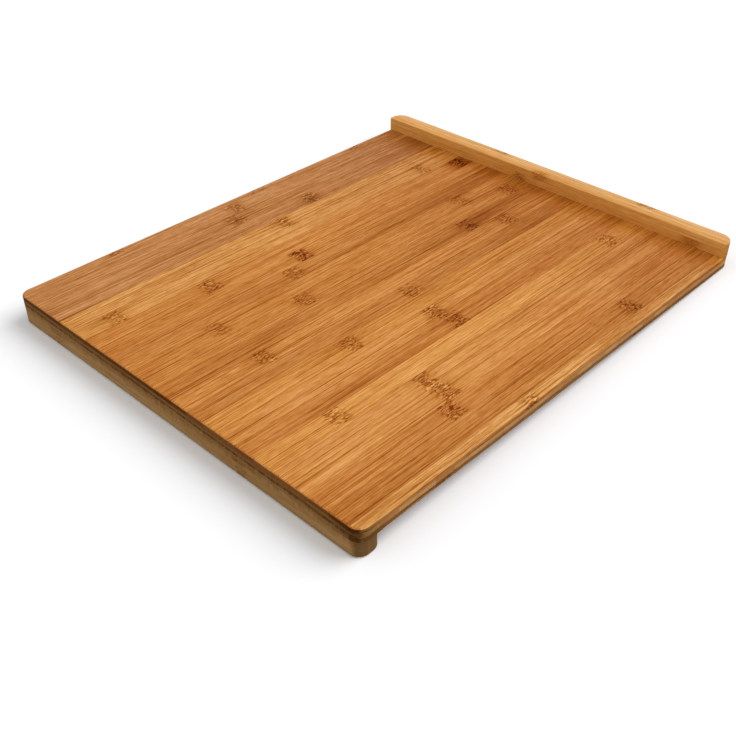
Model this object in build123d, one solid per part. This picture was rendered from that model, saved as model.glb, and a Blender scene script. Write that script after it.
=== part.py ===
import os

from build123d import *

# Bamboo carving board that hooks over the edge of a worktop. A three-ply panel of laths carries a
# backstop rail on its back edge and a lip under its front edge, both held by hidden dowels.
# Frame: x to the right, y from the lip to the rail, z up. The origin lies under the middle of the
# board, at the height of the lip's lowest face. All sizes are in millimetres.

# Panel
board_width = 438.8
board_depth = 521.8
top_ply_thickness = 4.4
core_ply_thickness = 4.4
bottom_ply_thickness = 4.4
front_corner_radius = 10.0
back_corner_radius = 14.0
top_edge_radius = 1.8
bottom_edge_radius = 1.0

# Laths of the three plies
lath_width = 20.0
edge_lath_width = 8.64
core_lath_width = 20.0
least_lath_share = 0.1  # a narrower strip at the right side is left on the lath beside it

# Lip under the front edge
lip_depth = 24.0
lip_drop = 15.2
lip_end_inset = 0.4
lip_front_radius = 10.0
lip_back_radius = 9.5
lip_edge_radius = 1.0
lip_rebate_depth = 0.2  # the lip is let this far into the underside
lip_fit_gap = 0.1
lip_lath_names = ["front", "middle", "back"]

# Rail on the back edge
rail_depth = 18.2
rail_height = 14.8
rail_front_radius = 1.0
rail_back_radius = 13.0
rail_edge_radius = 0.9
rail_row_names = ["front", "middle", "back"]
rail_tier_names = ["lower", "upper"]

# Dowel pins
dowel_diameter = 4.0
dowel_length = 19.0
dowel_chamfer = 0.5
dowel_glue_gap = 0.1
dowel_end_gap = 0.5
dowel_lath_step = 4  # one dowel in every fourth full lath

# Shared by all cuts and roundings
cut_overrun = 5.0
wall_limit_share = 0.95  # a rounding never takes up more of its wall than this

# Levels and sides worked out from the sizes above
underside = lip_drop
core_bottom = underside + bottom_ply_thickness
core_top = core_bottom + core_ply_thickness
board_top = core_top + top_ply_thickness
rail_top = board_top + rail_height
left_side = -board_width / 2
right_side = board_width / 2
front_side = -board_depth / 2
back_side = board_depth / 2
lip_back = front_side + lip_depth
rebate_back = lip_back + lip_fit_gap
rail_front = back_side - rail_depth
rail_middle = back_side - rail_depth / 2
lip_middle = front_side + lip_depth / 2


def block(low, high):
    # Box between two opposite corners
    size = [b - a for a, b in zip(low, high)]
    middle = [(a + b) / 2 for a, b in zip(low, high)]
    return Pos(*middle) * Box(*size)


def band(axis, low, high):
    # Box that takes in the whole object but for two limits along one axis
    lows = [left_side - cut_overrun, front_side - cut_overrun, -cut_overrun]
    highs = [right_side + cut_overrun, back_side + cut_overrun, rail_top + cut_overrun]
    lows[axis] = low
    highs[axis] = high
    return block(lows, highs)


def across(low, high):
    return band(0, low, high)


def along(low, high):
    return band(1, low, high)


def between_levels(low, high):
    return band(2, low, high)


def limited(radius, wall):
    return min(radius, wall_limit_share * wall)


def upright(outline, low, high):
    return Pos(0, 0, low) * extrude(outline, high - low)


def round_corners(outline, place, radius):
    # Rounds the corners of a flat outline in front (place 0) or at the back (place -1)
    return fillet(outline.vertices().group_by(Axis.Y)[place], radius)


def board_slab(low, high):
    # The board's outline between two levels
    outline = Rectangle(board_width, board_depth)
    outline = round_corners(outline, 0, front_corner_radius)
    outline = round_corners(outline, -1, back_corner_radius)
    return upright(outline, low, high)


def top_ply():
    # Rounded at the top edge, but left square under the rail
    slab = board_slab(core_top, board_top)
    radius = limited(top_edge_radius, top_ply_thickness)
    rounded = fillet(slab.faces().sort_by(Axis.Z)[-1].edges(), radius)
    open_part = rounded & along(front_side - cut_overrun, rail_front)
    part_under_rail = slab & along(rail_front, back_side + cut_overrun)
    return open_part + part_under_rail


def bottom_ply():
    # Rounded at the lower edge behind the lip, and planed to a shallow rebate where the lip is glued on
    slab = board_slab(underside, core_bottom)
    radius = limited(bottom_edge_radius, bottom_ply_thickness)
    rounded = fillet(slab.faces().sort_by(Axis.Z)[0].edges(), radius)
    open_part = rounded & along(rebate_back, back_side + cut_overrun)
    part_over_lip = board_slab(underside + lip_rebate_depth, core_bottom)
    part_over_lip &= along(front_side - cut_overrun, rebate_back)
    return open_part + part_over_lip


def lip_bar():
    # Flush with the board in front and set in a little from its sides
    outline = Pos(0, lip_middle, 0) * Rectangle(board_width - 2 * lip_end_inset, lip_depth)
    outline = round_corners(outline, 0, limited(lip_front_radius, lip_depth / 2))
    outline = round_corners(outline, -1, limited(lip_back_radius, lip_depth / 2))
    bar = upright(outline, 0, underside + lip_rebate_depth)
    radius = limited(lip_edge_radius, min(lip_front_radius, lip_back_radius))
    bar = fillet(bar.faces().sort_by(Axis.Z)[0].edges(), radius)
    # The upper back edge is eased, so that the back face ends just below the underside
    eased_edge = along(lip_back - lip_fit_gap, lip_back + cut_overrun)
    eased_edge &= between_levels(underside - lip_fit_gap, board_top)
    return bar - eased_edge


def rail_bar():
    # Rounded a little at its front corners, more at the back ones, and along its whole top edge
    outline = Pos(0, rail_middle, 0) * Rectangle(board_width, rail_depth)
    outline = round_corners(outline, 0, rail_front_radius)
    outline = round_corners(outline, -1, limited(rail_back_radius, rail_depth - rail_front_radius))
    bar = upright(outline, board_top, rail_top)
    radius = limited(rail_edge_radius, min(rail_front_radius, rail_back_radius))
    return fillet(bar.faces().sort_by(Axis.Z)[-1].edges(), radius)


def lath_spans():
    # Left and right limits of the laths that run from the lip to the rail
    limits = [left_side, left_side + edge_lath_width]
    while limits[-1] + lath_width < right_side:
        limits.append(limits[-1] + lath_width)
    if right_side - limits[-1] < least_lath_share * lath_width:
        limits.pop()
    limits.append(right_side)
    return list(zip(limits[:-1], limits[1:]))


def equal_spans(low, high, count):
    step = (high - low) / count
    return [(low + step * i, low + step * (i + 1)) for i in range(count)]


def dowel_places(y):
    # Dowels stand in the middle of every few full laths
    full_laths = lath_spans()[1:-1]
    return [((low + high) / 2, y) for low, high in full_laths[::dowel_lath_step]]


def dowel_bores(places, low, high):
    radius = dowel_diameter / 2 + dowel_glue_gap
    return [Pos(x, y, (low + high) / 2) * Cylinder(radius, high - low) for x, y in places]


def dowels(places, low):
    pin = Cylinder(dowel_diameter / 2, dowel_length)
    pin = chamfer(pin.edges().filter_by(GeomType.CIRCLE), dowel_chamfer)
    return Compound([(Pos(x, y, low + dowel_length / 2) * pin).solid() for x, y in places])


rail_dowel_places = dowel_places(rail_middle)
lip_dowel_places = dowel_places(lip_middle)
rail_bores = dowel_bores(rail_dowel_places, core_bottom, core_bottom + dowel_length + dowel_end_gap)
lip_bores = dowel_bores(lip_dowel_places, core_top - dowel_length - dowel_end_gap, core_top)

top_blank = top_ply() - rail_bores
core_blank = board_slab(core_bottom, core_top) - rail_bores - lip_bores
bottom_blank = bottom_ply() - lip_bores
rail_blank = rail_bar() - rail_bores
lip_blank = lip_bar() - lip_bores

pieces = {}

# Laths of the top and bottom plies, numbered from the left
for number, (low, high) in enumerate(lath_spans(), start=1):
    pieces[f"top_lath_{number:02d}"] = top_blank & across(low, high)
    pieces[f"bottom_lath_{number:02d}"] = bottom_blank & across(low, high)

# Laths of the core, laid across the others
core_lath_count = max(1, round(board_depth / core_lath_width))
core_spans = equal_spans(front_side, back_side, core_lath_count)
pieces["core_laths"] = Compound([(core_blank & along(*span)).solid() for span in core_spans])

# Slats of the rail, two high and three deep
rail_tiers = equal_spans(board_top, rail_top, len(rail_tier_names))
rail_rows = equal_spans(rail_front, back_side, len(rail_row_names))
for tier_name, tier in zip(rail_tier_names, rail_tiers):
    for row_name, row in zip(rail_row_names, rail_rows):
        slat = rail_blank & between_levels(*tier) & along(*row)
        pieces[f"rail_slat_{tier_name}_{row_name}"] = slat

# Laths of the lip, glued on edge
lip_rows = equal_spans(front_side, lip_back, len(lip_lath_names))
for lath_name, row in zip(lip_lath_names, lip_rows):
    pieces[f"lip_lath_{lath_name}"] = lip_blank & along(*row)

# Hidden dowels
pieces["rail_dowels"] = dowels(rail_dowel_places, core_bottom)
pieces["lip_dowels"] = dowels(lip_dowel_places, core_top - dowel_length)

os.makedirs("parts", exist_ok=True)
for name, piece in pieces.items():
    export_step(piece, f"parts/{name}.step")
print(len(pieces), "nodes written")
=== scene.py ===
import math
import random

import bpy
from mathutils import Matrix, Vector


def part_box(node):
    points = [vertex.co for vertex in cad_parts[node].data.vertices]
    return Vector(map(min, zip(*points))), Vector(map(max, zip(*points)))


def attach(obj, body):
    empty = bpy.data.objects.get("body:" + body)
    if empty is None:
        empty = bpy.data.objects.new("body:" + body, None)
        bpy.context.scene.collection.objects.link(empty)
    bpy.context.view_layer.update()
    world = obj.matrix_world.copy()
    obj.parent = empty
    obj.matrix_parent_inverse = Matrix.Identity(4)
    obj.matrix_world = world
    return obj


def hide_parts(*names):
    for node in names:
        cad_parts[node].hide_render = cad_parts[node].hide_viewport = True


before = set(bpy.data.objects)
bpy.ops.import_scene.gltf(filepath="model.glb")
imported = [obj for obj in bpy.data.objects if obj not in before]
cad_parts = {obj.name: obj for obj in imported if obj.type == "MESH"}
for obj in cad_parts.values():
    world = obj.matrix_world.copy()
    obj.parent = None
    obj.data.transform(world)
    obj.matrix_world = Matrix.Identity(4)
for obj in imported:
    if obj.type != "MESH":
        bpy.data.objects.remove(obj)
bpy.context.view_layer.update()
bpy.context.scene.view_settings.view_transform = "Standard"
print("frame loaded:", len(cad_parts), "nodes")

mm = 0.001
closeBy = 1e-6  # places nearer to each other than this, in metres, count as one

# Colours of the bamboo, as they look in plain light
tones = {
    "honey": (0.622, 0.270, 0.068),
    "amber": (0.568, 0.216, 0.047),
    "caramel": (0.520, 0.192, 0.041),
    "russet": (0.520, 0.182, 0.037),
    "gold": (0.575, 0.222, 0.044),
    "tan": (0.498, 0.206, 0.063),
    "wheat": (0.708, 0.335, 0.100),
    "straw": (0.765, 0.375, 0.088),
    "cream": (0.790, 0.440, 0.175),
    "pale": (0.740, 0.335, 0.068),
    "olive": (0.440, 0.246, 0.094),
    "cocoa": (0.228, 0.105, 0.026),
}

# Rounded and eased edges of all pieces, angles in degrees
edgeLook = {"roundProfile": 0.5, "arrisAngle": 55, "arrisSteps": 1, "smoothAngle": 30}


def makeActive(piece):
    bpy.ops.object.select_all(action="DESELECT")
    piece.select_set(True)
    bpy.context.view_layer.objects.active = piece


def startBox(name, low, high):
    bpy.ops.object.select_all(action="DESELECT")
    middle = [(a + b) / 2 for a, b in zip(low, high)]
    bpy.ops.mesh.primitive_cube_add(size=1, location=middle)
    piece = bpy.context.object
    piece.name = name
    piece.scale = [b - a for a, b in zip(low, high)]
    bpy.ops.object.transform_apply(location=True, rotation=True, scale=True)
    return piece


def roundEdges(piece, rule, radius, steps):
    # Rounds the edges whose two ends the rule accepts
    makeActive(piece)
    bpy.ops.object.mode_set(mode="EDIT")
    bpy.ops.mesh.select_mode(type="EDGE")
    bpy.ops.mesh.select_all(action="DESELECT")
    bpy.ops.object.mode_set(mode="OBJECT")
    spots = [v.co.copy() for v in piece.data.vertices]
    for edge in piece.data.edges:
        a, b = (spots[i] for i in edge.vertices)
        edge.select = rule(a, b)
    bpy.ops.object.mode_set(mode="EDIT")
    bpy.ops.mesh.bevel(offset=radius, offset_type="OFFSET", segments=steps,
                       profile=edgeLook["roundProfile"], affect="EDGES")
    bpy.ops.object.mode_set(mode="OBJECT")


def roundCorners(blank, place, radius, steps):
    # The upright edges at one y
    def rule(a, b):
        isUpright = abs(a.x - b.x) < closeBy and abs(a.y - b.y) < closeBy
        return isUpright and abs(a.y - place) < closeBy
    roundEdges(blank, rule, radius, steps)


def roundRim(blank, height, radius, steps, front=-math.inf, back=math.inf):
    # The edges at one height, between two places in y but not along them
    def rule(a, b):
        first, last = sorted((a.y, b.y))
        atHeight = abs(a.z - height) < closeBy and abs(b.z - height) < closeBy
        inside = first > front - closeBy and last < back + closeBy
        return atHeight and inside and last > front + closeBy and first < back - closeBy
    roundEdges(blank, rule, radius, steps)


def startBlank(name, low, high, shape):
    # A box with rounded corners in front and at the back
    blank = startBox(name, low, high)
    roundCorners(blank, low[1], shape["frontRadius"], shape["frontSteps"])
    roundCorners(blank, high[1], shape["backRadius"], shape["backSteps"])
    return blank


def sawAt(piece, axis, limit, drop=""):
    # drop "low" or "high" takes that side away and closes the cut; without it only an edge loop is drawn
    reach = [v.co[axis] for v in piece.data.vertices]
    if limit < min(reach) + closeBy or limit > max(reach) - closeBy:
        return
    makeActive(piece)
    spot = [0, 0, 0]
    spot[axis] = limit
    facing = [0, 0, 0]
    facing[axis] = 1
    bpy.ops.object.mode_set(mode="EDIT")
    bpy.ops.mesh.select_all(action="SELECT")
    bpy.ops.mesh.bisect(plane_co=spot, plane_no=facing, use_fill=bool(drop),
                        clear_inner=drop == "low", clear_outer=drop == "high")
    bpy.ops.object.mode_set(mode="OBJECT")


def strip(blank, name, axis, low, high):
    # One lath or slat sawn out of a copy of the blank
    makeActive(blank)
    bpy.ops.object.duplicate(linked=False)
    piece = bpy.context.object
    piece.name = name
    sawAt(piece, axis, low, "low")
    sawAt(piece, axis, high, "high")
    return piece


def finishPiece(piece, ease, material, slot, *nodes):
    makeActive(piece)
    bevel = piece.modifiers.new("easedArris", "BEVEL")
    bevel.width = ease
    bevel.segments = edgeLook["arrisSteps"]
    bevel.limit_method = "ANGLE"
    bevel.angle_limit = math.radians(edgeLook["arrisAngle"])
    bpy.ops.object.modifier_apply(modifier=bevel.name)
    bpy.ops.object.shade_smooth_by_angle(angle=math.radians(edgeLook["smoothAngle"]))
    flat = piece.modifiers.new("evenShading", "WEIGHTED_NORMAL")
    flat.keep_sharp = True
    bpy.ops.object.modifier_apply(modifier=flat.name)
    piece.data.materials.clear()
    piece.data.materials.append(material)
    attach(piece, "root")
    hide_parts(*nodes)


# Node helpers for the materials

def addNode(tree, kind, **values):
    node = tree.nodes.new(kind)
    for key, value in values.items():
        setattr(node, key, value)
    return node


def feed(tree, socket, value):
    if isinstance(value, bpy.types.NodeSocket):
        tree.links.new(value, socket)
    else:
        socket.default_value = value


def calc(tree, operation, *values, clamp=False):
    node = addNode(tree, "ShaderNodeMath", operation=operation, use_clamp=clamp)
    for socket, value in zip(node.inputs, values):
        feed(tree, socket, value)
    return node.outputs[0]


def times(tree, a, b):
    return calc(tree, "MULTIPLY", a, b)


def minus(tree, a, b):
    return calc(tree, "SUBTRACT", a, b)


def ramp(tree, value, low, high, outLow=0.0, outHigh=1.0):
    node = addNode(tree, "ShaderNodeMapRange", interpolation_type="SMOOTHSTEP")
    for socket, entry in zip(node.inputs, (value, low, high, outLow, outHigh)):
        feed(tree, socket, entry)
    return node.outputs[0]


def parts(tree, vector):
    node = addNode(tree, "ShaderNodeSeparateXYZ")
    feed(tree, node.inputs[0], vector)
    return list(node.outputs)


def joined(tree, *values):
    node = addNode(tree, "ShaderNodeCombineXYZ")
    for socket, value in zip(node.inputs, values):
        feed(tree, socket, value)
    return node.outputs[0]


def shift(tree, vector, offset):
    node = addNode(tree, "ShaderNodeVectorMath", operation="ADD")
    feed(tree, node.inputs[0], vector)
    feed(tree, node.inputs[1], offset)
    return node.outputs[0]


def noise(tree, vector, waves, detail, rough):
    # Waves per metre along x, y and z
    sizing = addNode(tree, "ShaderNodeVectorMath", operation="MULTIPLY")
    feed(tree, sizing.inputs[0], vector)
    sizing.inputs[1].default_value = waves
    node = addNode(tree, "ShaderNodeTexNoise")
    tree.links.new(sizing.outputs[0], node.inputs["Vector"])
    node.inputs["Scale"].default_value = 1.0
    node.inputs["Detail"].default_value = detail
    node.inputs["Roughness"].default_value = rough
    return node.outputs["Fac"]


def blend(tree, factor, a, b, kind="MIX"):
    node = addNode(tree, "ShaderNodeMix", data_type="RGBA", blend_type=kind)
    feed(tree, node.inputs[0], factor)
    feed(tree, node.inputs[6], a)  # the colour sockets come after those for numbers and vectors
    feed(tree, node.inputs[7], b)
    return node.outputs[2]


def rgba(tone):
    return (*tone, 1.0)


def tinted(tree, colour, mask, tint):
    return blend(tree, mask, colour, blend(tree, 1.0, colour, rgba(tint), "MULTIPLY"))


def shareOf(wanted, tone):
    return tuple(a / b for a, b in zip(wanted, tone))


def around(tree, value, share):
    # A noise value, which lies about a half, turned into a swing of that share about nothing
    return times(tree, minus(tree, value, 0.5), share * 2)


def dimmed(tree, level, mask, depth):
    return times(tree, level, minus(tree, 1.0, times(tree, mask, depth)))


def nearTo(tree, value, place, reach, strength=1.0, core=0.0):
    # Full strength within the core of a place, and nothing beyond its reach
    return ramp(tree, calc(tree, "ABSOLUTE", minus(tree, value, place)), core, reach, strength, 0.0)


def strongest(tree, masks):
    result = masks[0]
    for mask in masks[1:]:
        result = calc(tree, "MAXIMUM", result, mask)
    return result


# Grain of the bamboo. A noise has its waves per metre across the grain, along it and upwards, its detail
# and its roughness.
grainLook = {
    "fibre": ((1250, 14, 1250), 4.0, 0.6),     # single fibres
    "speck": ((850, 85, 850), 2.0, 0.55),      # short soft dashes
    "strand": ((400, 9, 400), 2.0, 0.55),      # bundles of fibres
    "streak": ((150, 3.5, 150), 2.0, 0.55),    # broad light and dark streaks
    "cloud": ((40, 13, 40), 2.0, 0.55),        # slow changes along a lath
    "swings": {"fibre": 0.84, "speck": 0.42, "strand": 0.08, "streak": 0.18, "cloud": 0.15},
    "vessel": ((340, 6, 340), 3.0, 0.6),       # long dark lines
    "hair": ((1100, 6, 1100), 1.0, 0.55),      # hair lines
    "fleck": ((900, 75, 900), 1.0, 0.55),      # short dark dashes
    # Where in the noise a dark line starts and is full, and its depth
    "darkLines": {"vessel": (0.57, 0.70, 0.10), "hair": (0.57, 0.63, 0.38), "fleck": (0.58, 0.72, 0.20)},
    "streaky": ("strand", "streak", "vessel"),         # what a lath with strong streaks has more of
    "depth": (0.85, 1.4, 2.4), "leastLevel": 0.05,     # darker wood loses green and blue first
    "seedStep": (0.731, 1.377, 0.417),                 # how far one seed moves the pattern
    "lathJump": 0.937, "lathLift": (0.86, 1.12),       # from lath to lath, where one piece holds many
}
# Knuckle marks: ragged bands across a lath, in which the fibres are kinked
markLook = {
    "core": 4.5 * mm, "edge": 13 * mm, "halo": 28 * mm, "haloDepth": 0.13,
    "wander": 14 * mm, "wanderNoise": ((190, 60, 190), 2.0, 0.55),
    "swirl": 5 * mm, "swirlNoise": ((130, 90, 130), 2.0, 0.55),
    "stroke": ((850, 240, 850), 2.0, 0.6),
    "strokes": [((0.44, 0.60), 0.72), ((0.44, 0.36), -0.28)],    # dark ones and light ones
}
# Glue lines between the laths, and the dashed ones between the plies at the edge of the panel, which also
# break up the painted shadow on the lip
glueLook = {
    "width": 0.6 * mm, "breaks": ((20, 30, 20), 2.0, 0.55), "broken": (0.35, 0.65, 0.1, 1.0),
    "dash": ((260, 260, 90), 2.0, 0.55), "dashed": (0.38, 0.58, 0.45, 1.15),
    "sideShare": 0.4,    # fainter at the left and right sides
}
# What changes with the way a face looks: the limits are for parts of its normal
faceLook = {
    "upright": (0.72, 0.97), "turn": (0.72, 0.97), "upward": (0.6, 0.95), "leastSlant": 0.01,
    "endDots": 1050, "dotEdge": (0.22, 0.48), "dotDepth": 0.18, "endCalm": 0.6,    # dotted end grain
    "rimStart": (0.45, 0.75), "rimStop": (0.88, 0.99), "rimHighlight": 0.02,    # a painted highlight on the rounded upper edges
    # Painted shade on the upright faces near one corner
    "cornerReach": (3 * mm, 38 * mm), "cornerShade": (0.51, 0.55, 0.50),
}
# Satin oil finish, a little duller in the dark vessels
oilLook = {
    "fibres": (0.2, 0.8), "gloss": (0.46, 0.60), "vesselDull": 0.12, "shine": 0.02,
    "bumpHeight": 0.12 * mm, "bumpShare": 0.35, "vesselDip": -0.5,
}


def knuckleMasks(tree, spot, run, knuckles):
    ragged = around(tree, noise(tree, spot, *markLook["wanderNoise"]), markLook["wander"] / 2)
    placed = calc(tree, "ADD", run, ragged)
    mark = strongest(tree, [nearTo(tree, placed, place, markLook["edge"], strength, markLook["core"])
                            for place, strength in knuckles])
    halo = strongest(tree, [nearTo(tree, run, place, markLook["halo"], strength)
                            for place, strength in knuckles])
    swing = around(tree, noise(tree, spot, *markLook["swirlNoise"]), markLook["swirl"] / 2)
    return mark, halo, joined(tree, times(tree, swing, mark))


def faceMasks(tree, along, endTurn):
    # Masks for the upright faces that look along x and along y. At a rounded corner the end grain comes
    # in over the given turn.
    normal = parts(tree, addNode(tree, "ShaderNodeNewGeometry").outputs["Normal"])
    upPart = times(tree, normal[2], normal[2])
    slant = calc(tree, "SQRT", calc(tree, "SUBTRACT", 1.0, upPart, clamp=True))
    upright = ramp(tree, slant, *faceLook["upright"])
    facing = {}
    for axis, part in zip("xy", normal):
        divisor = calc(tree, "MAXIMUM", slant, faceLook["leastSlant"])
        turn = calc(tree, "DIVIDE", calc(tree, "ABSOLUTE", part), divisor)
        limits = endTurn if axis == along else faceLook["turn"]
        facing[axis] = times(tree, upright, ramp(tree, turn, *limits))
    return normal[2], upright, facing


def oilFinish(tree, shader, fibre, vessel):
    gloss = ramp(tree, fibre, *oilLook["fibres"], *oilLook["gloss"])
    dull = calc(tree, "MULTIPLY_ADD", vessel, oilLook["vesselDull"], gloss)
    tree.links.new(dull, shader.inputs["Roughness"])
    shader.inputs["Specular IOR Level"].default_value = oilLook["shine"]
    bump = addNode(tree, "ShaderNodeBump")
    bump.inputs["Strength"].default_value = oilLook["bumpShare"]
    bump.inputs["Distance"].default_value = oilLook["bumpHeight"]
    height = calc(tree, "MULTIPLY_ADD", vessel, oilLook["vesselDip"], fibre)
    tree.links.new(height, bump.inputs["Height"])
    tree.links.new(bump.outputs["Normal"], shader.inputs["Normal"])


def bambooMaterial(name, tone, seed, endDim, along="y", lift=1.0, streaks=1.0, contrast=1.0, knuckles=(),
                   shades=(), joints=(), glueAndShadowLines=(), tints=(), perLath=None, paintedSideShade=None, topDim=None,
                   corner=None, endTurn=faceLook["turn"]):
    # The grain runs along x or y. Along it there are knuckles (place, strength), shades (place, reach, depth)
    # and tints (start, stop, colour), and across it joints (place, depth). Glue lines (height, reach, depth),
    # and on the lip a painted shadow, show on the upright faces. perLath is (first edge, width) of the laths
    # that share one piece.
    material = bpy.data.materials.new(name)
    material.use_nodes = True
    tree = material.node_tree
    shader = tree.nodes["Principled BSDF"]
    coords = addNode(tree, "ShaderNodeTexCoord").outputs["Object"]
    x, y, z = parts(tree, coords)
    run, side = (y, x) if along == "y" else (x, y)
    spot = shift(tree, joined(tree, side, run, z), [seed * step for step in grainLook["seedStep"]])
    if perLath:  # the pattern jumps from one lath to the next
        firstEdge, width = perLath
        lathIndex = calc(tree, "FLOOR", calc(tree, "DIVIDE", minus(tree, side, firstEdge), width))
        spot = shift(tree, spot, joined(tree, 0.0, times(tree, lathIndex, grainLook["lathJump"])))
    grainSpot = spot
    if knuckles:
        mark, halo, kink = knuckleMasks(tree, spot, run, knuckles)
        grainSpot = shift(tree, spot, kink)
    normalUp, upright, facing = faceMasks(tree, along, endTurn)
    end = facing[along]

    # Everything that lightens or darkens the wood goes into one level
    level = lift
    grain = {}
    for kind, share in grainLook["swings"].items():
        grain[kind] = noise(tree, spot if kind == "cloud" else grainSpot, *grainLook[kind])
        swing = share * (streaks if kind in grainLook["streaky"] else 1.0) * contrast
        level = calc(tree, "ADD", around(tree, grain[kind], swing), level)
    for kind, (start, full, depth) in grainLook["darkLines"].items():
        grain[kind] = ramp(tree, noise(tree, grainSpot, *grainLook[kind]), start, full)
        loss = depth * (streaks if kind in grainLook["streaky"] else 1.0) * contrast
        level = dimmed(tree, level, grain[kind], loss)
    calm = times(tree, minus(tree, lift, level), times(tree, end, faceLook["endCalm"]))
    level = calc(tree, "ADD", level, calm)
    for place, reach, depth in shades:
        level = dimmed(tree, level, nearTo(tree, run, place, reach), depth)
    if perLath:
        pick = addNode(tree, "ShaderNodeTexWhiteNoise", noise_dimensions="1D")
        feed(tree, pick.inputs["W"], lathIndex)
        level = times(tree, level, ramp(tree, pick.outputs["Value"], 0.0, 1.0, *grainLook["lathLift"]))
    if knuckles:
        level = dimmed(tree, level, halo, markLook["haloDepth"])
        stroke = noise(tree, grainSpot, *markLook["stroke"])
        for limits, depth in markLook["strokes"]:
            level = dimmed(tree, level, times(tree, mark, ramp(tree, stroke, *limits)), depth)
    if joints:  # stronger here and there
        line = strongest(tree, [nearTo(tree, side, place, glueLook["width"], depth)
                                for place, depth in joints])
        broken = ramp(tree, noise(tree, spot, *glueLook["breaks"]), *glueLook["broken"])
        level = dimmed(tree, level, line, broken)
    # Glue lines, and on the lip a painted shadow below the panel
    if glueAndShadowLines:
        dashes = ramp(tree, noise(tree, coords, *glueLook["dash"]), *glueLook["dashed"])
        atSides = times(tree, facing["x"], glueLook["sideShare"])
        glue = times(tree, dashes, calc(tree, "MAXIMUM", facing["y"], atSides))
        for height, reach, depth in glueAndShadowLines:
            level = dimmed(tree, level, times(tree, nearTo(tree, z, height, reach), glue), depth)
    cells = addNode(tree, "ShaderNodeTexVoronoi", feature="F1")
    cells.inputs["Scale"].default_value = faceLook["endDots"]
    tree.links.new(spot, cells.inputs["Vector"])
    dot = times(tree, ramp(tree, cells.outputs["Distance"], *faceLook["dotEdge"], 1.0, 0.0), end)
    level = dimmed(tree, level, dot, faceLook["dotDepth"])
    # Painted highlight on the rounded upper edges
    rim = times(tree, ramp(tree, normalUp, *faceLook["rimStart"]),
                ramp(tree, normalUp, *faceLook["rimStop"], 1.0, 0.0))
    level = dimmed(tree, level, rim, -faceLook["rimHighlight"])
    level = calc(tree, "MAXIMUM", level, grainLook["leastLevel"])

    # The level turns the tone darker or lighter, and the faces then take their own tints
    shade = addNode(tree, "ShaderNodeCombineColor")
    for socket, power in zip(shade.inputs, grainLook["depth"]):
        feed(tree, socket, calc(tree, "POWER", level, power))
    colour = blend(tree, 1.0, rgba(tone), shade.outputs[0], "MULTIPLY")
    for start, stop, tint in tints:
        colour = tinted(tree, colour, ramp(tree, run, start, stop), tint)
    colour = tinted(tree, colour, end, endDim)
    # Painted shade on the faces that look along x
    if paintedSideShade:
        colour = tinted(tree, colour, facing["x"], paintedSideShade)
    if corner:  # painted shade on the edge of the panel near one corner
        gap = addNode(tree, "ShaderNodeVectorMath", operation="DISTANCE")
        feed(tree, gap.inputs[0], joined(tree, x, y))
        gap.inputs[1].default_value = (*corner, 0.0)
        near = ramp(tree, gap.outputs["Value"], *faceLook["cornerReach"], 1.0, 0.0)
        colour = tinted(tree, colour, times(tree, upright, near), faceLook["cornerShade"])
    # A dimmer top beside a front face with painted light
    if topDim:
        colour = tinted(tree, colour, ramp(tree, normalUp, *faceLook["upward"]), topDim)
    tree.links.new(colour, shader.inputs["Base Color"])
    oilFinish(tree, shader, grain["fibre"], grain["vessel"])
    return material


def marksFrom(edge, knuckles):
    # Knuckles given in mm from an edge
    return [(edge + place * mm, strength) for place, strength in knuckles]


def shadesFrom(edge, shades):
    # Shades given in mm from an edge
    return [(edge + place * mm, reach * mm, depth) for place, reach, depth in shades]


# Panel: three blanks are shaped, and the laths are sawn out of them
panel = {
    "frontRadius": 10 * mm, "frontSteps": 14, "backRadius": 14 * mm, "backSteps": 14,
    "topRound": 1.8 * mm, "bottomRound": 1 * mm, "roundSteps": 6,
    "seamEase": 0.07 * mm, "bottomEase": 0.16 * mm,
    # The side tint is painted shade on the left and right sides
    "paintedSideShade": (0.71, 0.63, 0.56), "endTurn": (0.45, 0.80),
# The end turn carries the darker end colour round the rounded corners as painted shade
}
lathCount = sum(node.startswith("top_lath_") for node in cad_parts)


def plyBox(ply):
    # Lowest and highest corners of all laths of a ply
    boxes = [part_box(f"{ply}_lath_{number:02d}") for number in range(1, lathCount + 1)]
    low = [min(box[0][k] for box in boxes) for k in range(3)]
    high = [max(box[1][k] for box in boxes) for k in range(3)]
    return low, high


topLow, topHigh = plyBox("top")
coreLow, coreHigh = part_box("core_laths")
bottomLow, bottomHigh = plyBox("bottom")
frontSide, backSide = topLow[1], topHigh[1]
# The front right corner, where shade is painted on the edge of the panel
shadedCorner = (topHigh[0], frontSide)
railLow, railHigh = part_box("rail_slat_lower_front")[0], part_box("rail_slat_upper_back")[1]
lipLow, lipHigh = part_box("lip_lath_front")[0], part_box("lip_lath_back")[1]
railFront, lipBack = railLow[1], lipHigh[1]

topBlank = startBlank("topBlank", topLow, topHigh, panel)
sawAt(topBlank, 1, railFront)
roundRim(topBlank, topHigh[2], panel["topRound"], panel["roundSteps"], back=railFront)
coreBlank = startBlank("coreBlank", coreLow, coreHigh, panel)
bottomBlank = startBlank("bottomBlank", bottomLow, bottomHigh, panel)
sawAt(bottomBlank, 1, lipBack)
roundRim(bottomBlank, bottomLow[2], panel["bottomRound"], panel["roundSteps"], front=lipBack)
print("panel blanks shaped")

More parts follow.
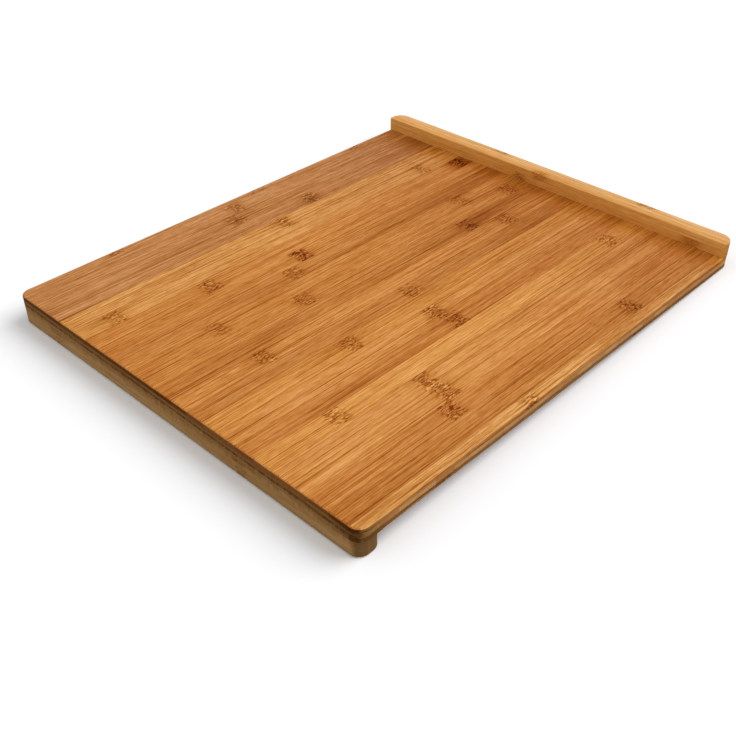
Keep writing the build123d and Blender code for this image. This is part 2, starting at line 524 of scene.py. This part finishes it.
topPly = {
    "lift": 1.05, "jointDepth": 0.36,
    "darkJoints": {2: 0.8, 3: 0.6, 8: 0.6, 12: 0.5},  # the darker glue lines, by the lath on their left
    # Painted shade: darker towards the back, and darker and warmer in front of the rail, where its shadow and
    # warm bounce fall: start and stop in mm from the front edge
    "tints": [(230, 500, (0.85, 0.79, 0.80)), (474, 498, (0.98, 0.87, 0.47))],
    # On every lath: darker along the front edge, a painted shadow in front of the rail, and painted light in
    # a paler line at its foot
    "edgeAndPaintedRailShade": [(0, 45, 0.06), (484, 22, 0.09), (502, 9, -0.24)],
    # End grain in front: dark on the left, paler on the right, and dark again at the right corner with
    # painted shade
    "ends": (13 * [(0.219, 0.164, 0.070)] + 7 * [(0.380, 0.327, 0.380)]
             + [(0.320, 0.330, 0.430), (0.283, 0.212, 0.110), (0.250, 0.130, 0.060)]),
    # Each lath: tone, lightness, strength of its streaks, knuckle marks (mm from the front edge, strength)
    # and darker stretches (mm from the front edge, reach in mm, depth)
    "laths": [
        ("tan", 1.10, 1.4, [(435, 0.8), (287, 0.7), (104, 0.8)], [(60, 130, -0.09), (260, 90, 0.05)]),
        ("tan", 1.13, 1.5, [(245, 0.8)], []),
        ("tan", 1.06, 1.7, [(229, 0.6)], [(495, 45, 0.16)]),
        ("tan", 1.04, 1.8, [(315, 1.0)], [(430, 120, 0.08), (495, 45, 0.12)]),
        ("wheat", 0.90, 1.0, [(259, 0.8)], []),
        ("honey", 1.05, 1.0, [(447, 0.7), (39, 0.8)], []),
        ("amber", 1.06, 1.0, [(490, 1.3), (130, 1.0)], [(90, 100, 0.10), (488, 26, 0.30)]),
        ("amber", 1.08, 1.0, [(227, 1.2)], [(80, 110, 0.12), (227, 14, 0.12)]),
        ("caramel", 1.10, 1.3, [(199, 0.7)], [(480, 260, 0.24)]),
        ("amber", 1.04, 1.0, [(420, 0.7), (90, 0.6)], []),
        ("amber", 1.06, 1.0, [(476, 0.8), (174, 0.8)], [(400, 220, 0.07)]),
        ("caramel", 0.95, 1.2, [(384, 1.0)], [(400, 45, 0.20)]),
        ("amber", 1.11, 1.0, [(423, 0.8), (90, 0.8)], [(430, 100, 0.10)]),
        ("caramel", 1.06, 1.0, [(253, 0.8)], [(430, 100, 0.12)]),
        ("gold", 1.16, 1.0, [(154, 0.8)], [(430, 160, 0.06)]),
        ("amber", 1.15, 1.0, [(241, 0.9)], []),
        ("russet", 1.10, 1.4, [(246, 1.0)], []),
        ("gold", 1.26, 0.6, [(458, 0.8), (78, 0.7)], []),
        ("amber", 1.21, 1.0, [(159, 0.9)], [(430, 160, 0.06)]),
        ("amber", 1.20, 1.0, [(161, 0.9)], []),
        ("russet", 1.14, 1.0, [(145, 1.0)], []),
        ("caramel", 1.02, 1.3, [(370, 1.0)], []),
        ("wheat", 0.95, 0.8, [(199, 0.7)], [(430, 200, 0.08)]),
    ],
}
# The painted shade of the top, in metres
topPaintedShade = [(frontSide + start * mm, frontSide + stop * mm, tint) for start, stop, tint in topPly["tints"]]
for number, (tone, lift, streaks, knuckles, shades) in enumerate(topPly["laths"], start=1):
    node = f"top_lath_{number:02d}"
    low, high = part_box(node)
    joints = [(place, topPly["darkJoints"].get(line, topPly["jointDepth"]))
              for place, line in ((low[0], number - 1), (high[0], number)) if 0 < line < lathCount]
    material = bambooMaterial(
        f"topBamboo{number:02d}", tones[tone], number, topPly["ends"][number - 1],
        lift=topPly["lift"] * lift, streaks=streaks, knuckles=marksFrom(frontSide, knuckles),
        shades=shadesFrom(frontSide, shades + topPly["edgeAndPaintedRailShade"]), joints=joints, tints=topPaintedShade,
        paintedSideShade=panel["paintedSideShade"], corner=shadedCorner, endTurn=panel["endTurn"])
    lath = strip(topBlank, f"topLath{number:02d}", 0, low[0], high[0])
    finishPiece(lath, panel["seamEase"], material, "top_bamboo", node)
print("top laths done")

# The underside is like the top, with marks of its own. Its ends are alike but for the last one, and so are
# its sides, whose darker tone is painted shade. Glue lines are (reach, depth), and marks lie in mm from the
# front edge.
bottomPly = {
    "tones": ["honey", "amber", "amber", "caramel", "gold", "tan"], "seed": 40, "drawSeed": 23,
    "lift": (0.94, 1.06), "lastLift": 0.90, "jointDepth": 0.36,
    "frontMark": (30, 240), "backMark": (280, 500), "markStrength": (0.6, 1.0),
    "endTone": (0.311, 0.178, 0.073), "lastEndTone": (0.230, 0.085, 0.015), "shadedSideTone": (0.335, 0.161, 0.053),
    "upperGlue": (2.3 * mm, 0.72), "lowerGlue": (1.2 * mm, 0.42),
}
draw = random.Random(bottomPly["drawSeed"])
bottomGlue = [(bottomHigh[2], *bottomPly["upperGlue"]), (bottomLow[2], *bottomPly["lowerGlue"])]
for number in range(1, lathCount + 1):
    node = f"bottom_lath_{number:02d}"
    low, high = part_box(node)
    last = number == lathCount
    joints = [(place, bottomPly["jointDepth"]) for place in (low[0], high[0])
              if bottomLow[0] < place < bottomHigh[0]]
    tone = tones[draw.choice(bottomPly["tones"])]
    lift = bottomPly["lastLift"] if last else draw.uniform(*bottomPly["lift"])
    marks = [draw.uniform(*bottomPly["frontMark"]), draw.uniform(*bottomPly["backMark"])]
    knuckles = [(place, draw.uniform(*bottomPly["markStrength"])) for place in marks]
    endTone = bottomPly["lastEndTone" if last else "endTone"]
    material = bambooMaterial(
        f"bottomBamboo{number:02d}", tone, bottomPly["seed"] + number, shareOf(endTone, tone), lift=lift,
        knuckles=marksFrom(frontSide, knuckles), joints=joints, glueAndShadowLines=bottomGlue,
        paintedSideShade=shareOf(bottomPly["shadedSideTone"], tone), corner=shadedCorner, endTurn=panel["endTurn"])
    lath = strip(bottomBlank, f"bottomLath{number:02d}", 0, low[0], high[0])
    finishPiece(lath, panel["bottomEase"], material, "bottom_bamboo", node)
print("bottom laths done")

# Core: its laths lie across the others and share one piece
core = {
    # The dark tone on the long faces and the ends 2.3 to 3.6 times lighter are painted shade in front and
    # painted light at the sides
    "laths": 26, "tone": "cocoa", "seed": 80, "contrast": 0.8, "endDim": (2.3, 2.5, 3.6),
    "paleStretch": (190 * mm, 60 * mm, -0.14),  # along x: place, reach, depth
    "lowerGlue": (1.9 * mm, 0.70), "upperGlue": (0.6 * mm, 0.30),
}
corePitch = (backSide - frontSide) / core["laths"]
coreStrips = []
for number in range(core["laths"]):
    low, high = frontSide + corePitch * number, frontSide + corePitch * (number + 1)
    coreStrips.append(strip(coreBlank, f"coreStrip{number}", 1, low, high))
bpy.ops.object.select_all(action="DESELECT")
for piece in coreStrips:
    piece.select_set(True)
bpy.context.view_layer.objects.active = coreStrips[0]
bpy.ops.object.join()
coreLaths = bpy.context.object
coreLaths.name = "coreLaths"
coreMaterial = bambooMaterial(
    "coreBamboo", tones[core["tone"]], core["seed"], core["endDim"], "x", contrast=core["contrast"],
    shades=[core["paleStretch"]], perLath=(frontSide, corePitch), corner=shadedCorner,
    glueAndShadowLines=[(coreLow[2], *core["lowerGlue"]), (coreHigh[2], *core["upperGlue"])])
finishPiece(coreLaths, panel["seamEase"], coreMaterial, "core_bamboo", "core_laths")
print("core laths done")

# Rail: one blank, sawn into two tiers of three slats
rail = {
    "frontRadius": 1 * mm, "frontSteps": 6, "backRadius": 13 * mm, "backSteps": 14,
    "topRound": 0.9 * mm, "roundSteps": 5, "ease": 0.1 * mm,
    "seed": 90, "contrast": 0.5, "jointDepth": 0.50,
    # The upper front slat is lightened and its top dimmed back, which paints light on its front face
    "endDim": (0.66, 0.60, 0.50), "paintedFrontLightTopDim": (0.91, 0.87, 1.05),
    # Each slat: place, tone, lightness, knuckle marks and darker stretches, in mm from the left end
    "slats": [
        ("lower_front", "pale", 1.03, [(193, 0.5), (404, 0.3)], [(193, 10, 0.22), (402, 18, 0.28)]),
        ("lower_middle", "pale", 1.00, [(120, 0.7)], []),
        ("lower_back", "pale", 1.02, [(300, 0.7)], []),
        ("upper_front", "straw", 1.06, [(219, 0.4)], [(220, 14, 0.14)]),
        ("upper_middle", "cream", 0.99, [], []),
        ("upper_back", "cream", 1.02, [(154, 0.7), (342, 0.7)], []),
    ],
}
railLeft = railLow[0]
railBlank = startBlank("railBlank", railLow, [-railLeft, backSide, railHigh[2]], rail)
roundRim(railBlank, railHigh[2], rail["topRound"], rail["roundSteps"])
for number, (name, tone, lift, knuckles, shades) in enumerate(rail["slats"]):
    node = f"rail_slat_{name}"
    low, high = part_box(node)
    joints = [(place, rail["jointDepth"]) for place in (low[1], high[1]) if railFront < place < backSide]
    material = bambooMaterial(
        f"railBamboo{number}", tones[tone], rail["seed"] + number, rail["endDim"], "x", lift=lift,
        contrast=rail["contrast"], knuckles=marksFrom(railLeft, knuckles),
        shades=shadesFrom(railLeft, shades), joints=joints,
        topDim=rail["paintedFrontLightTopDim"] if name == "upper_front" else None)
    slat = strip(railBlank, f"railSlat{number}", 1, low[1], high[1])
    sawAt(slat, 2, low[2], "low")
    sawAt(slat, 2, high[2], "high")
    finishPiece(slat, rail["ease"], material, "rail_bamboo", node)
print("rail done")

# Lip: three laths on edge
lip = {
    "frontRadius": 10 * mm, "frontSteps": 14, "backRadius": 9.5 * mm, "backSteps": 14,
    "edgeRound": 1 * mm, "roundSteps": 4, "ease": 0.08 * mm,
    # The ends are darker end grain, deepened as painted shade, and the end turn carries that shade round the
    # rounded corners
    "seed": 110, "contrast": 0.55, "endDim": (0.47, 0.44, 0.40), "endTurn": (0.0, 0.6),
    "shadow": (8 * mm, 0.26), "glue": (0.8 * mm, 0.15),  # reach and depth below the panel; the shadow is painted shade
    # Each lath: place, tone, lightness and knuckle marks, in mm from the left end
    "laths": [
        ("front", "olive", 1.03, [(60, 0.4), (310, 0.4)]),
        ("middle", "olive", 1.03, [(130, 0.5)]),
        ("back", "olive", 1.00, [(210, 0.5)]),
    ],
}
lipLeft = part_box("lip_lath_middle")[0][0]
lipGlueAndShadow = [(bottomLow[2], *lip["shadow"]), (bottomLow[2], *lip["glue"])]
lipBlank = startBlank("lipBlank", [lipLeft, frontSide, lipLow[2]], [-lipLeft, lipBack, bottomLow[2]], lip)
roundRim(lipBlank, lipLow[2], lip["edgeRound"], lip["roundSteps"])
for number, (name, tone, lift, knuckles) in enumerate(lip["laths"]):
    node = f"lip_lath_{name}"
    low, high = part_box(node)
    material = bambooMaterial(
        f"lipBamboo{number}", tones[tone], lip["seed"] + number, lip["endDim"], "x", lift=lift,
        contrast=lip["contrast"], knuckles=marksFrom(lipLeft, knuckles), glueAndShadowLines=lipGlueAndShadow,
        endTurn=lip["endTurn"])
    lath = strip(lipBlank, f"lipLath{number}", 1, low[1], high[1])
    finishPiece(lath, lip["ease"], material, "lip_bamboo", node)
print("lip done")

for blank in (topBlank, coreBlank, bottomBlank, railBlank, lipBlank):
    bpy.data.objects.remove(blank, do_unlink=True)

# The dowels stay as they come from the CAD
dowel = {"tone": "cream", "seed": 130, "endDim": (0.9, 0.88, 0.85)}
dowelMaterial = bambooMaterial("dowelWood", tones[dowel["tone"]], dowel["seed"], dowel["endDim"])
for node in ("rail_dowels", "lip_dowels"):
    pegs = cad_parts[node]
    pegs.data.materials.clear()
    pegs.data.materials.append(dowelMaterial)
print("dowels done")

# Studio: white to the camera, but with less light from the floor and the world on the board
studio = {
    "floorSize": 30.0, "floorGap": 0.1 * mm,
    "floorWhite": (1.03, 1.04, 1.05), "floorBounce": (0.50, 0.50, 0.50),
    "worldWhite": (1, 1, 1), "worldSeen": 1.0, "worldFill": 0.36,
    "keyPower": 2.06, "keyAngle": 50, "keyFrom": (0.40, 0.58, 0.71),
    "fillPower": 0.80, "fillAngle": 120, "fillFrom": (0.05, -0.75, 0.66),
}


def seenMask(tree):
    # For what the camera sees, also in a shiny or clear surface
    rays = addNode(tree, "ShaderNodeLightPath").outputs
    mirrored = calc(tree, "MAXIMUM", rays["Is Glossy Ray"], rays["Is Transmission Ray"])
    return calc(tree, "MAXIMUM", rays["Is Camera Ray"], mirrored)


# The board stands on its lip and on its back edge, so the floor slopes a little in the board's frame
lipFoot = lipBack - lip["edgeRound"]
slope = math.atan((bottomLow[2] - lipLow[2]) / (backSide - panel["bottomRound"] - lipFoot))
bpy.ops.object.select_all(action="DESELECT")
bpy.ops.mesh.primitive_plane_add(size=studio["floorSize"], rotation=(slope, 0, 0),
                                 location=(0, lipFoot, lipLow[2] - studio["floorGap"]))
floor = bpy.context.object
floor.name = "studioFloor"
floorMaterial = bpy.data.materials.new("studioFloor")
floorMaterial.use_nodes = True
tree = floorMaterial.node_tree
tree.nodes.clear()
matt = addNode(tree, "ShaderNodeBsdfDiffuse")
floorColour = blend(tree, seenMask(tree), rgba(studio["floorBounce"]), rgba(studio["floorWhite"]))
tree.links.new(floorColour, matt.inputs["Color"])
tree.links.new(matt.outputs[0], addNode(tree, "ShaderNodeOutputMaterial").inputs["Surface"])
floor.data.materials.append(floorMaterial)

world = bpy.data.worlds.new("studioWorld")
bpy.context.scene.world = world
world.use_nodes = True
tree = world.node_tree
tree.nodes.clear()
sky = addNode(tree, "ShaderNodeBackground")
sky.inputs["Color"].default_value = rgba(studio["worldWhite"])
skyStrength = ramp(tree, seenMask(tree), 0.0, 1.0, studio["worldFill"], studio["worldSeen"])
tree.links.new(skyStrength, sky.inputs["Strength"])
tree.links.new(sky.outputs[0], addNode(tree, "ShaderNodeOutputWorld").inputs["Surface"])

for name in ("key", "fill"):
    bpy.ops.object.light_add(type="SUN", location=studio[name + "From"])
    sun = bpy.context.object
    sun.name = name + "Light"
    sun.data.energy = studio[name + "Power"]
    sun.data.angle = math.radians(studio[name + "Angle"])
    sun.rotation_euler = sun.location.to_track_quat("Z", "Y").to_euler()
print("studio done")

# Camera at the photograph's viewing angle, in degrees, with the lens and the sensor in mm
shot = {
    "place": (0.56097, -0.605728, 0.534383), "turn": (53.0774, 0.1506, 43.8740),
    "lens": 49.703, "sensor": 36,
}
bpy.ops.object.camera_add(location=shot["place"], rotation=[math.radians(a) for a in shot["turn"]])
camera = bpy.context.object
camera.data.lens = shot["lens"]
camera.data.sensor_width = shot["sensor"]
camera.data.sensor_fit = "HORIZONTAL"
bpy.context.scene.camera = camera
print("camera done")
